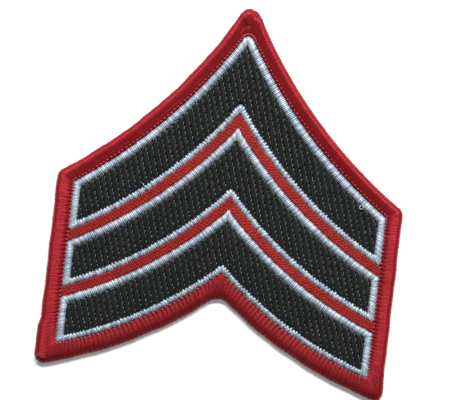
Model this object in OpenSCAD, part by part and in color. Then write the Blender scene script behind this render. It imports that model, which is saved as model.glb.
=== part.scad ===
// Embroidered rank patch: three chevrons, point up, inside a merrowed border.
// The patch lies on its back at z = 0 with its apex toward +Y, and the origin is
// the middle of its back.

/* [Patch] */
// Width across the border, side to side
patch_w = 76; // [66:1:90]
// Height of the embroidered field, from its feet to its apex
field_h = 72.5; // [64:0.5:86]
// Thickness of the twill ground with its stiff backing
cloth_t = 1; // [0.8:0.1:1.6]

/* [Border] */
// Width of the merrowed border, seen from the front
border_w = 3.7; // [3.2:0.1:5]
// Height of the border's crown over the cloth
border_rise = 1.2; // [0.8:0.1:2]
// Thickness of the border's thread under the edge of the cloth
wrap_t = 0.4; // [0.2:0.05:0.6]
// How far the edge of the cloth reaches into the border
grip_w = 2.4; // [1.5:0.1:2.6]
// Length of the stretch where the border's end laps over its start
lap_l = 9; // [5:0.5:14]
// Thickness that the lap adds to the border
lap_t = 0.5; // [0.3:0.1:0.8]

/* [Embroidery] */
// Width of the satin outline round each chevron
outline_w = 1.5; // [1:0.1:2]
// Height of the satin outline's crown over the cloth
outline_rise = 0.8; // [0.6:0.1:1.2]
// Width of the red stripe between two chevrons
stripe_w = 2.2; // [1.5:0.1:3]
// Height of the red stripe over the cloth
stripe_rise = 0.45; // [0.3:0.05:0.7]
// Height of the black fill over the cloth
fill_rise = 0.5; // [0.3:0.05:0.7]

/* [Corners] */
// Radius of the field's blunt apex
apex_r = 1.2; // [0.6:0.1:2]
// Radius of every other outer corner of the embroidery
corner_r = 0.4; // [0.3:0.1:0.8]
// Radius of the border's outer edge round its apex
knob_r = 2.5; // [1.5:0.1:4]
// Radius of the border's outer edge round its shoulders
shoulder_r = 2; // [1:0.1:4]
// Radius of the border's outer edge round its feet
foot_r = 1.5; // [1:0.1:3]
// Radius of the border's outer edge in the notch below the chevrons
notch_r = 3; // [1:0.1:5]

/* [Hidden] */

field_w = patch_w - 2 * border_w;
half_w = field_w / 2;
// Clearance between two layers of thread or cloth, and between neighbours side by side
layer_gap = 0.05;
// Crease between the border and the embroidery
seam = 0.15;
// Radius of the outlines' inner corners, and where they turn over the tip of a chevron below
inner_r = 0.15;
turn_r = 1;
// How far the lap ends above the border's lowest point
lap_lift = 0.7;
// Straight steps along a curved edge and round a corner
EDGE_STEPS = 14;
CORNER_STEPS = 3;

// The curved edges, from the top down. MID and SIDE are heights over the field's feet, at its
// middle and at its sides, as shares of field_h. BEND is the radius as a share of patch_w.
MID = 0;
SIDE = 1;
BEND = 2;
EDGES = [
    [1.000, 0.488, 1.50],  // top of the field
    [0.730, 0.324, 1.30],  // middle of the upper stripe
    [0.477, 0.154, 1.20],  // middle of the lower stripe
    [0.270, 0.000, 1.20]]; // bottom of the field
TOP = 0;
UPPER = 1;
LOWER = 2;
BOTTOM = 3;

// Corners of a chevron, as indexes in a list of their radii
APEX = 0;
SHOULDER = 1;
FOOT = 2;
NOTCH = 3;

// Section of the border, from its inner lip over its crown to its underside. OUT is the distance
// from the field's edge as a share of border_w. UP is a share of the crown's height over the
// cloth, or below the cloth's face a share of the cloth's thickness.
OUT = 0;
UP = 1;
BEAD = [
    [0.05, 0.25],
    [0.14, 0.60],
    [0.28, 0.88],
    [0.48, 1.00],
    [0.66, 0.94],
    [0.82, 0.72],
    [0.94, 0.32],
    [1.00, -0.20],
    [0.97, -0.60],
    [0.88, -0.90],
    [0.76, -1.00]];
// First row of the section that the lap covers, and the last
LAP_ROWS = [3, 9];

// Section of an outline: share of its width from its outer edge, share of its height
DOME = [
    [0.00, 0.35],
    [0.10, 0.72],
    [0.30, 0.97],
    [0.70, 0.97],
    [0.90, 0.72],
    [1.00, 0.35]];

// An arc [x, y, radius] has its centre above it and bulges down toward the middle of the patch
function edge_arc(row) =
    let (a = [0, row[MID] * field_h], b = [half_w, row[SIDE] * field_h],
         r = row[BEND] * patch_w, chord = b - a, l = norm(chord),
         centre = (a + b) / 2 + [-chord.y, chord.x] / l * sqrt(r * r - l * l / 4))
    [centre.x, centre.y, r];
function raised(arc, up) = [arc.x, arc.y, arc.z - up];
function lowered(arc, down) = raised(arc, -down);
function on_arc(arc, x) = [x, arc.y - sqrt(arc.z * arc.z - (x - arc.x) * (x - arc.x))];
function heading(p, arc) = atan2(arc.y - p.y, arc.x - p.x);
function bend(arc, from, to, steps) =
    [for (i = [0:steps]) let (a = from + (to - from) * i / steps)
        [arc.x + arc.z * cos(a), arc.y + arc.z * sin(a)]];
function inner_points(points) = [for (i = [1:len(points) - 2]) points[i]];
function mirrored(half) =
    concat(half, [for (i = [len(half) - 2:-1:1]) [-half[i].x, half[i].y]]);

// Outline of a chevron between two arcs and two sides, clockwise from its apex. It is drawn in
// by inset, or let out by a negative one, and corners are its radii.
function chevron(top, bottom, inset, corners) =
    let (t = lowered(top, inset), b = raised(bottom, inset), w = half_w - inset,
         apex = on_arc(lowered(t, corners[APEX]), 0),
         shoulder = on_arc(lowered(t, corners[SHOULDER]), w - corners[SHOULDER]),
         foot = on_arc(raised(b, corners[FOOT]), w - corners[FOOT]),
         notch = on_arc(lowered(b, corners[NOTCH]), 0),
         apex_a = heading(apex, t), shoulder_a = heading(shoulder, t),
         foot_a = heading(foot, b) - 180, notch_a = heading(notch, b))
    mirrored(concat(
        bend([apex.x, apex.y, corners[APEX]], 90, apex_a, CORNER_STEPS),
        inner_points(bend(t, apex_a + 180, shoulder_a + 180, EDGE_STEPS)),
        bend([shoulder.x, shoulder.y, corners[SHOULDER]], shoulder_a, 0, CORNER_STEPS),
        bend([foot.x, foot.y, corners[FOOT]], 0, foot_a, CORNER_STEPS),
        inner_points(bend(b, foot_a, notch_a - 180, EDGE_STEPS)),
        bend([notch.x, notch.y, corners[NOTCH]], notch_a, 90, CORNER_STEPS)));

function mix(a, b, share) = a + (b - a) * share;

// Arcs over and under each chevron and stripe
function top_arc(k) = k == TOP ? edge_arc(EDGES[TOP]) : lowered(edge_arc(EDGES[k]), stripe_w / 2);
function bottom_arc(k) =
    k == LOWER ? edge_arc(EDGES[BOTTOM]) : raised(edge_arc(EDGES[k + 1]), stripe_w / 2);

// Corner radii of the field, of the border's outer edge and of each chevron
FIELD_CORNERS = [apex_r, corner_r, corner_r, corner_r];
BORDER_CORNERS = [knob_r, shoulder_r, foot_r, notch_r];
INNER_CORNERS = [inner_r, inner_r, inner_r, turn_r];
STRIPE_CORNERS = [corner_r, inner_r, inner_r, corner_r];
function outer_corners(k) = k == TOP ? FIELD_CORNERS : [corner_r, corner_r, corner_r, corner_r];

function field_edge(out, share) =
    chevron(edge_arc(EDGES[TOP]), edge_arc(EDGES[BOTTOM]), -out,
        mix(FIELD_CORNERS, BORDER_CORNERS, share));
function chevron_edge(k, inset, share) =
    chevron(top_arc(k), bottom_arc(k), inset, mix(outer_corners(k), INNER_CORNERS, share));
function at_height(points, z) = [for (p = points) [p.x, p.y, z]];

// The middle of the patch's height, which becomes the origin
rim_y = [for (p = field_edge(border_w, 1)) p.y];
middle_y = (max(rim_y) + min(rim_y)) / 2;

// Height of a row of the border's section, with the crown and the sides let out by extra
function bead_z(row, extra) = cloth_t + row[UP] * (row[UP] < 0 ? cloth_t : border_rise + extra);
function bead_point(row, extra) = [row[OUT] * (border_w + extra), bead_z(row, extra)];

// Closed solid through a stack of outlines that have the same number of points, the last of
// which joins the first again
module ring_solid(rings) {
    n = len(rings[0]);
    m = len(rings);
    polyhedron(
        points = [for (ring = rings) each ring],
        faces = [for (k = [0:m - 1], i = [0:n - 1])
            let (a = k * n + i, b = k * n + (i + 1) % n,
                 c = (k + 1) % m * n + (i + 1) % n, d = (k + 1) % m * n + i)
            each [[a, b, c], [a, c, d]]]);
}

module placed() {
    translate([0, -middle_y, 0]) children();
}

// Flat piece of the given height on the face of the cloth
module embroidered(outline, rise) {
    placed() translate([0, 0, cloth_t + layer_gap])
        linear_extrude(rise - layer_gap) polygon(outline);
}

// Twill with its backing: the full thickness inside the border, and a pressed edge in its grip
module ground_cloth() {
    color("#26262a") placed() union() {
        linear_extrude(cloth_t) polygon(field_edge(0, 0));
        translate([0, 0, wrap_t + layer_gap])
            linear_extrude(cloth_t - wrap_t - 2 * layer_gap)
                polygon(field_edge(grip_w, grip_w / border_w));
    }
}

// Rounded bead of overlocked thread that wraps the edge of the cloth all the way round
module border() {
    grip = grip_w + layer_gap;
    slot = [[seam, 0], [seam, wrap_t], [grip, wrap_t], [grip, cloth_t], [seam, cloth_t]];
    section = concat([for (row = BEAD) bead_point(row, 0)], slot);
    color("firebrick") placed()
        ring_solid([for (p = section) at_height(field_edge(p.x, p.x / border_w), p.y)]);
}

// Second layer of the same thread, where the border's end laps over its start above the left foot
module border_lap() {
    rows = [for (i = [LAP_ROWS[0]:LAP_ROWS[1]]) BEAD[i]];
    count = len(rows);
    section = concat(
        [for (row = rows) bead_point(row, lap_t)],
        [for (i = [count - 1:-1:0]) bead_point(rows[i], layer_gap)]);
    color("brown") placed()
        translate([-half_w, min(rim_y) + lap_lift + lap_l, 0])
            rotate([90, 0, 0]) mirror([1, 0, 0]) linear_extrude(lap_l) polygon(section);
}

// Black stitches that fill one chevron inside its outline
module fill(k) {
    color("#2b2d2c") embroidered(chevron_edge(k, outline_w + layer_gap, 1), fill_rise);
}

// Domed band of pale satin stitches round one chevron
module outline(k) {
    base = [[1, 0], [0, 0]];
    color("lightsteelblue") placed()
        ring_solid([for (row = concat(DOME, base))
            at_height(chevron_edge(k, row.x * outline_w, row.x),
                cloth_t + mix(layer_gap, outline_rise, row.y))]);
}

// Red stitches between the outlines of two chevrons
module stripe(k) {
    arc = edge_arc(EDGES[k]);
    color("brown") embroidered(
        chevron(raised(arc, stripe_w / 2), lowered(arc, stripe_w / 2), layer_gap,
            STRIPE_CORNERS), stripe_rise);
}

ground_cloth();
border();
border_lap();
fill(TOP);  // fill_top
fill(UPPER);  // fill_middle
fill(LOWER);  // fill_bottom
outline(TOP);  // outline_top
outline(UPPER);  // outline_middle
outline(LOWER);  // outline_bottom
stripe(UPPER);  // stripe_upper
stripe(LOWER);  // stripe_lower
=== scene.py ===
"""Embroidered rank patch: three chevrons, point up, inside a merrowed border.

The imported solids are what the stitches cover, and PatchPlan repeats the sizes that they were
built with. This script lays real stitches: wraps of red thread round the edge, satin arches
round each chevron, long black fill stitches, and short red stitches in the stripes. Lengths are
in millimetres until a piece is finished, and then its mesh is brought to metres. The patch lies
on its back at z = 0 with its apex toward +Y. In the plan, y is counted from the field's feet,
and PatchPlan.middle_y is taken off as a stitch is laid.
"""
import logging
import math
import random
from dataclasses import dataclass, field, replace
from enum import Enum, IntEnum
from functools import cached_property

import bmesh
import bpy
import numpy as np
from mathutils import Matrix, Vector


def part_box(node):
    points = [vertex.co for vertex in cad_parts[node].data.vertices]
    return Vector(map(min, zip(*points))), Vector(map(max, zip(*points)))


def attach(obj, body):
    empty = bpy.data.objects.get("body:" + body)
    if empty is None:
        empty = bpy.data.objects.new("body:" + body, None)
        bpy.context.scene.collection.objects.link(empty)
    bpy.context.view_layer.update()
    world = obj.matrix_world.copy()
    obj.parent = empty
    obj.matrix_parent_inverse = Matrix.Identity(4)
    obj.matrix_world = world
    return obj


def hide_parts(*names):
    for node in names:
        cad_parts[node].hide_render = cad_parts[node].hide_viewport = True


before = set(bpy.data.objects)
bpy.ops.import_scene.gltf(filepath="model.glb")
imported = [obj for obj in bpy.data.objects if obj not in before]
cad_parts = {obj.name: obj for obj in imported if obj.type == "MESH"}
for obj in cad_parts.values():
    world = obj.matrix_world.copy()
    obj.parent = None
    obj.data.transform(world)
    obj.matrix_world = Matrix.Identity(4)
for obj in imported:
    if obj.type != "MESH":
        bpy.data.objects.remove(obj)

log = logging.getLogger("patch")

MM = 0.001
UV_NAME = "thread"
# Share of a stitch's strip of the UV map that is left free on each side
UV_MARGIN = 0.05
# Straight steps round the apex or notch, round another corner, and along a curved edge
APEX_STEPS = 8
CORNER_STEPS = 16
EDGE_STEPS = 60

Profile = tuple[tuple[float, float], ...]
Range = tuple[float, float]
Ends = tuple[np.ndarray, np.ndarray]


class Edge(Enum):
    """The three edges of one half of a chevron, from corner to corner."""

    TOP = "top"
    SIDE = "side"
    BOTTOM = "bottom"


class Hand(Enum):
    """Which half of the patch, as the sign of x."""

    LEFT = -1
    RIGHT = 1


class Chevron(Enum):
    """The three chevrons, from the top down."""

    TOP = 0
    MIDDLE = 1
    BOTTOM = 2


class Stripe(Enum):
    """The two red stripes, numbered by the design row that runs along their middle."""

    UPPER = 1
    LOWER = 2


class Coat(IntEnum):
    """Place of a finish among those of a piece."""

    THREAD = 0
    UNDERLAY = 1
    # Darker copy of a piece's thread, painted shade
    WORN = 2


# ---- plan of the patch ------------------------------------------------------------------------


@dataclass(frozen=True)
class Arc:
    """Circular edge whose centre lies above it, in the plane of the patch."""

    x: float
    y: float
    r: float

    def raised(self, up: float) -> "Arc":
        """The same edge moved up across itself."""
        return Arc(self.x, self.y, self.r - up)

    def at(self, x: float) -> Vector:
        """The point of the edge at a given x."""
        return Vector((x, self.y - math.sqrt(self.r**2 - (x - self.x) ** 2)))

    def heading_from(self, point: Vector) -> float:
        """Angle from a point to the centre."""
        return math.atan2(self.y - point.y, self.x - point.x)

    def sweep(self, start: float, end: float, steps: int) -> list[Vector]:
        """Points along the circle between two angles.

        Args:
            start: First angle, in radians.
            end: Last angle, in radians.
            steps: Number of straight steps.

        Returns:
            steps + 1 points.
        """
        angles = [start + (end - start) * i / steps for i in range(steps + 1)]
        return [Vector((self.x + self.r * math.cos(a), self.y + self.r * math.sin(a)))
                for a in angles]


class Path:
    """Line in the plane of the patch that is read by the distance along it."""

    def __init__(self, points: list[Vector]) -> None:
        """Measure the line.

        Args:
            points: Its points in order.
        """
        self.xy = np.array([tuple(p)[:2] for p in points], float)
        steps = np.linalg.norm(np.diff(self.xy, axis=0), axis=1)
        self.run = np.concatenate([[0.0], np.cumsum(steps)])
        self.length = float(self.run[-1])

    def at(self, distance: float) -> np.ndarray:
        """The point at a distance from the start."""
        return np.array([np.interp(distance, self.run, self.xy[:, k]) for k in (0, 1)])

    def along(self, distance: float, reach: float = 0.4) -> np.ndarray:
        """Unit direction of travel at a distance from the start."""
        step = self.at(min(distance + reach, self.length)) - self.at(max(distance - reach, 0))
        return step / (np.linalg.norm(step) or 1.0)


@dataclass(frozen=True)
class Corners:
    """Radii at a chevron's four kinds of corner."""

    apex: float
    shoulder: float
    foot: float
    notch: float


@dataclass(frozen=True)
class PatchPlan:
    """Sizes and edges of the patch, as the solids have them.

    Each row is one of the design's curved edges, from the top down: its height over the field's
    feet at the middle and at the side, as shares of field_h, and its radius as a share of
    patch_w. The second and third run along the middle of the stripes.
    """

    patch_w: float = 76.0
    field_h: float = 72.5
    cloth_t: float = 1.0
    border_w: float = 3.7
    border_rise: float = 1.2
    outline_w: float = 1.5
    outline_rise: float = 0.8
    stripe_w: float = 2.2
    stripe_rise: float = 0.45
    fill_rise: float = 0.5
    lap_l: float = 9.0
    gap: float = 0.05
    rows: tuple[tuple[float, float, float], ...] = (
        (1.000, 0.488, 1.50), (0.730, 0.324, 1.30), (0.477, 0.154, 1.20), (0.270, 0.000, 1.20))
    field_corners: Corners = Corners(1.2, 0.4, 0.4, 0.4)
    border_corners: Corners = Corners(2.5, 2.0, 1.5, 3.0)
    chevron_corners: Corners = Corners(0.4, 0.4, 0.4, 0.4)
    inner_corners: Corners = Corners(0.15, 0.15, 0.15, 1.0)

    @property
    def half_w(self) -> float:
        """Half the width of the embroidered field."""
        return self.patch_w / 2 - self.border_w

    def row_arc(self, row: int) -> Arc:
        """One of the design's four curved edges, on its right half.

        Args:
            row: Its number, from the top down.

        Returns:
            The arc through its middle and its side end.
        """
        mid, side, bend = self.rows[row]
        a = Vector((0, mid * self.field_h))
        b = Vector((self.half_w, side * self.field_h))
        r, chord = bend * self.patch_w, b - a
        across = Vector((-chord.y, chord.x)).normalized()
        centre = (a + b) / 2 + across * math.sqrt(r**2 - chord.length_squared / 4)
        return Arc(centre.x, centre.y, r)

    def top_arc(self, k: int) -> Arc:
        """The edge over a chevron."""
        return self.row_arc(0) if k == 0 else self.row_arc(k).raised(-self.stripe_w / 2)

    def bottom_arc(self, k: int) -> Arc:
        """The edge under a chevron."""
        return self.row_arc(3) if k == 2 else self.row_arc(k + 1).raised(self.stripe_w / 2)

    def edges(self, top: Arc, bottom: Arc, inset: float, corners: Corners) -> dict[Edge, Path]:
        """Edges of the right half of a chevron, cut at the middle of each corner.

        Args:
            top: Edge over the chevron.
            bottom: Edge under it.
            inset: How far the outline is drawn in, or let out if it is negative.
            corners: Radii of its corners.

        Returns:
            The path of each edge, clockwise as it is seen from the front.
        """
        t, b, w = top.raised(-inset), bottom.raised(inset), self.half_w - inset
        apex = t.raised(-corners.apex).at(0)
        shoulder = t.raised(-corners.shoulder).at(w - corners.shoulder)
        foot = b.raised(corners.foot).at(w - corners.foot)
        notch = b.raised(-corners.notch).at(0)
        apex_a, shoulder_a = t.heading_from(apex), t.heading_from(shoulder)
        foot_a, notch_a = b.heading_from(foot) - math.pi, b.heading_from(notch)
        turn = Arc(apex.x, apex.y, corners.apex).sweep(math.pi / 2, apex_a, APEX_STEPS)
        over = t.sweep(apex_a + math.pi, shoulder_a + math.pi, EDGE_STEPS)
        bend = Arc(shoulder.x, shoulder.y, corners.shoulder).sweep(shoulder_a, 0, CORNER_STEPS)
        heel = Arc(foot.x, foot.y, corners.foot).sweep(0, foot_a, CORNER_STEPS)
        under = b.sweep(foot_a, notch_a - math.pi, EDGE_STEPS)
        tuck = Arc(notch.x, notch.y, corners.notch).sweep(notch_a, math.pi / 2, APEX_STEPS)
        cut = CORNER_STEPS // 2
        return {Edge.TOP: Path(turn[:-1] + over + bend[1:cut + 1]),
                Edge.SIDE: Path(bend[cut:] + heel[:cut + 1]),
                Edge.BOTTOM: Path(heel[cut:] + under[1:] + tuck[1:])}

    @cached_property
    def middle_y(self) -> float:
        """Height over the field's feet that lies at y = 0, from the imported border.

        Returns:
            The height in millimetres.
        """
        knob = self.border_corners.apex
        top = self.row_arc(0).raised(self.border_w)
        return top.raised(-knob).at(0).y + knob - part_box("border")[1].y / MM


@dataclass(frozen=True)
class Band:
    """Strip between an outer and an inner path, which stitches cross.

    Where the strip turns a corner the stitches fan out over a short stretch, so that the last
    one lies on the mitre.

    Attributes:
        outer: Its outer path.
        inner: Its inner path.
        hand: Half of the patch that it lies on.
        clear: Distance from a corner at which the strip's direction is read.
        fan: Stretch over which stitches fan out, as a multiple of the mitre.
        fan_least: What is added to that stretch.
        lean_ease: Distance from a corner over which a lean grows.
    """

    outer: Path
    inner: Path
    hand: Hand
    clear: float = 4.0
    fan: float = 1.35
    fan_least: float = 0.3
    lean_ease: float = 2.0

    def mitres(self) -> tuple[float, float]:
        """How much longer the outer path is than the inner one.

        Returns:
            The difference at its start and at its end.
        """
        first = self.outer.along(self.clear)
        last = self.outer.along(self.outer.length - self.clear)
        start = float(np.dot(self.inner.at(0) - self.outer.at(0), first))
        end = float(np.dot(self.outer.at(self.outer.length) - self.inner.at(self.inner.length),
                           last))
        return start, end

    def crossings(self, pitch: float, lean: float, jitter: float, rng: random.Random,
                  shares: tuple[float, ...] = (0.0,)) -> list[list[Ends]]:
        """Ends of evenly spaced stitches across the strip.

        Args:
            pitch: Spacing along the middle of the strip.
            lean: How far the inner ends are moved on along the strip.
            jitter: Uneven spacing, as a share of the pitch.
            rng: Source of the unevenness.
            shares: Places of a stitch's strands beside its middle, as shares of the spacing.

        Returns:
            For each stitch, a pair of an outer and an inner point for each of its strands.
        """
        start, end = self.mitres()
        length = self.outer.length + max(0.0, -start) + max(0.0, -end)
        reach_a = self.fan * abs(start) + self.fan_least
        reach_b = self.fan * abs(end) + self.fan_least

        def placed(d: float, side: float) -> float:
            """Distance along the outer path, or the inner one, which bunches at its corners."""
            return (d - max(0.0, -side * start) * (1 - math.exp(-d / reach_a))
                    - max(0.0, -side * end) * math.exp(-(length - d) / reach_b))

        def ends(d: float) -> Ends:
            """Both ends of one strand.

            Args:
                d: Distance along the strip.

            Returns:
                Its outer and its inner point.
            """
            found = []
            for path, side in ((self.outer, 1.0), (self.inner, -1.0)):
                low, high = placed(0, side), placed(length, side)
                s = (placed(d, side) - low) / (high - low) * path.length
                if path is self.inner:
                    s += lean * min(1.0, min(s, path.length - s) / self.lean_ease)
                point = path.at(min(max(s, 0.0), path.length))
                found.append(np.array([point[0] * self.hand.value, point[1]]))
            return found[0], found[1]

        count = max(2, round(length / pitch))
        stitches = []
        for i in range(count):
            middle = i + 0.5 + rng.uniform(-jitter, jitter)
            stitches.append([ends((middle + share) / count * length) for share in shares])
        return stitches


# ---- thread -----------------------------------------------------------------------------------


class Strand:
    """Short tube of thread, bent along a path and copied into a piece for every stitch.

    Its UV map runs along the thread in millimetres, and across it as the stitch's number plus
    the share of the way round, so a material can twist the plies and tell stitches apart.
    """

    def __init__(self, segments: int, sides: int, coat: Coat = Coat.THREAD) -> None:
        """Extrude the tube from a circle.

        Args:
            segments: Rings of faces along it.
            sides: Faces round it.
            coat: Its finish among those of the piece.
        """
        self.segments = segments
        bm = bmesh.new()
        bm.loops.layers.uv.new(UV_NAME)
        bmesh.ops.create_circle(bm, cap_ends=True, segments=sides, radius=1.0)
        edges = list(bm.edges)
        for _ in range(segments):
            made = bmesh.ops.extrude_edge_only(bm, edges=edges)["geom"]
            verts = [g for g in made if isinstance(g, bmesh.types.BMVert)]
            ring = set(verts)
            edges = [g for g in made
                     if isinstance(g, bmesh.types.BMEdge) and ring.issuperset(g.verts)]
            bmesh.ops.translate(bm, verts=verts, vec=(0, 0, 1))
        bmesh.ops.contextual_create(bm, geom=edges)
        bmesh.ops.recalc_face_normals(bm, faces=list(bm.faces))
        for face in bm.faces:
            face.smooth = True
            face.material_index = int(coat)
        self.mesh = bpy.data.meshes.new("strand")
        bm.to_mesh(self.mesh)
        bm.free()
        self._index()
        self.count = 0

    def _index(self) -> None:
        """Note each vertex's ring and angle, and the same for each face corner."""
        co = np.empty(len(self.mesh.vertices) * 3, np.float32)
        self.mesh.vertices.foreach_get("co", co)
        co = co.reshape(-1, 3)
        self.ring = np.rint(co[:, 2]).astype(int)
        turn = np.arctan2(co[:, 1], co[:, 0]) / (2 * np.pi) % 1.0
        self.angle = turn * 2 * np.pi
        rings, shares = [], []
        for face in self.mesh.polygons:
            around = [float(turn[v]) for v in face.vertices]
            crosses_seam = len(around) == 4 and max(around) - min(around) > 0.5
            for v, share in zip(face.vertices, around):
                rings.append(int(self.ring[v]))
                shares.append(1.0 if crosses_seam and share < 0.5 else share)
        self.corner_ring = np.array(rings)
        self.corner_share = np.array(shares)

    def lay(self, bm: bmesh.types.BMesh, path: np.ndarray, side: np.ndarray,
            width: np.ndarray, height: np.ndarray) -> None:
        """Bend the tube along a path and add it to a piece.

        Args:
            bm: Mesh of the piece.
            path: One point for each ring.
            side: Unit direction across the thread, or one for each ring.
            width: Half width at each ring.
            height: Half height at each ring.
        """
        run = np.gradient(path, axis=0)
        run /= np.linalg.norm(run, axis=1)[:, None] + 1e-9
        side = np.broadcast_to(side, path.shape)
        up = np.cross(run, side)
        across = (np.cos(self.angle) * width[self.ring])[:, None] * side[self.ring]
        rise = (np.sin(self.angle) * height[self.ring])[:, None] * up[self.ring]
        points = path[self.ring] + across + rise
        self.mesh.vertices.foreach_set("co", points.astype(np.float32).ravel())
        steps = np.linalg.norm(np.diff(path, axis=0), axis=1)
        travel = np.concatenate([[0.0], np.cumsum(steps)])
        turn = self.count + UV_MARGIN + (1 - 2 * UV_MARGIN) * self.corner_share
        uv = np.stack([travel[self.corner_ring], turn], axis=1)
        self.mesh.uv_layers[UV_NAME].data.foreach_set("uv", uv.astype(np.float32).ravel())
        bm.from_mesh(self.mesh)
        self.count += 1


@dataclass(frozen=True)
class Taper:
    """How a thread narrows at its ends: to what share, and over what share of its length."""

    tip: float
    length: float

    def shares(self, count: int) -> np.ndarray:
        """Share of the full thickness along the thread.

        Args:
            count: Number of rings.

        Returns:
            One share for each ring.
        """
        t = np.linspace(0, 1, count)
        near = np.clip(np.minimum(t, 1 - t) / self.length, 0, 1)
        return self.tip + (1 - self.tip) * np.sqrt(near * (2 - near))


def level_side(a: np.ndarray, b: np.ndarray) -> np.ndarray:
    """Level unit direction across a stitch that runs from a to b in plan."""
    d = (b - a) / (np.linalg.norm(b - a) or 1.0)
    return np.array([-d[1], d[0], 0.0])


def outward(line: np.ndarray, heart: tuple[float, float]) -> np.ndarray:
    """Directions that point away from the inside of a section.

    Args:
        line: Points of the section.
        heart: A point inside it.

    Returns:
        A unit direction for each point, square to the line.
    """
    run = np.gradient(line, axis=0)
    run /= np.linalg.norm(run, axis=1)[:, None]
    out = np.stack([run[:, 1], -run[:, 0]], axis=1)
    return out * np.sign(np.einsum("ij,ij->i", out, line - np.array(heart)))[:, None]


# ---- finishes ---------------------------------------------------------------------------------


def linear(code: str) -> tuple[float, float, float, float]:
    """Scene colour of a #rrggbb code."""
    parts = [int(code[i:i + 2], 16) / 255 for i in (1, 3, 5)]
    return tuple(p / 12.92 if p <= 0.04045 else ((p + 0.055) / 1.055) ** 2.4
                 for p in parts) + (1.0,)


class Shader:
    """Material with a Principled shader, whose nodes are added one at a time."""

    def __init__(self, name: str) -> None:
        """Start an empty material.

        Args:
            name: Its name.
        """
        self.material = bpy.data.materials.new(name)
        self.material.use_nodes = True
        self.tree = self.material.node_tree
        self.tree.nodes.clear()
        self.principled = self.add("ShaderNodeBsdfPrincipled")
        output = self.add("ShaderNodeOutputMaterial")
        self.tree.links.new(self.principled.outputs[0], output.inputs[0])

    def put(self, socket: bpy.types.NodeSocket, value: object) -> None:
        """Link an input to a socket, or give it a value.

        Args:
            socket: The input.
            value: A socket or a value.
        """
        if isinstance(value, bpy.types.NodeSocket):
            self.tree.links.new(value, socket)
        else:
            socket.default_value = value

    def add(self, kind: str, inputs: dict | None = None, **settings: object) -> bpy.types.Node:
        """Add a node.

        Args:
            kind: Its type.
            inputs: Values or sockets for its inputs, by name or number.
            settings: Its own properties.

        Returns:
            The node.
        """
        node = self.tree.nodes.new(kind)
        for key, value in settings.items():
            setattr(node, key, value)
        for key, value in (inputs or {}).items():
            self.put(node.inputs[key], value)
        return node

    def math(self, operation: str, a: object, b: object = 0.0) -> bpy.types.NodeSocket:
        """Add a Math node and give its result."""
        return self.add("ShaderNodeMath", {0: a, 1: b}, operation=operation).outputs[0]

    def blend(self, factor: object, a: object, b: object) -> bpy.types.NodeSocket:
        """Mix two colours and give the result."""
        return self.add("ShaderNodeMix", {0: factor, 6: a, 7: b}, data_type="RGBA").outputs[2]

    def place(self) -> bpy.types.NodeSocket:
        """Add a node that gives the place on the patch."""
        return self.add("ShaderNodeTexCoord").outputs["Object"]

    def finish(self, **values: object) -> bpy.types.Material:
        """Set the shader's own inputs.

        Args:
            values: A value or a socket for each, with _ for a space in its name.

        Returns:
            The material.
        """
        for key, value in values.items():
            self.put(self.principled.inputs[key.replace("_", " ")], value)
        return self.material


@dataclass(frozen=True)
class CreaseShade:
    """Painted shade: soft dark spots mixed into a thread's colour where it is drawn in, all at
    one height over the floor.
    """

    spots: tuple[tuple[float, float], ...] = ()
    height: float = 2.0
    dark_within: float = 0.1
    gone_beyond: float = 0.6
    share: float = 0.6
    colour: str = "#2c060a"


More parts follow.
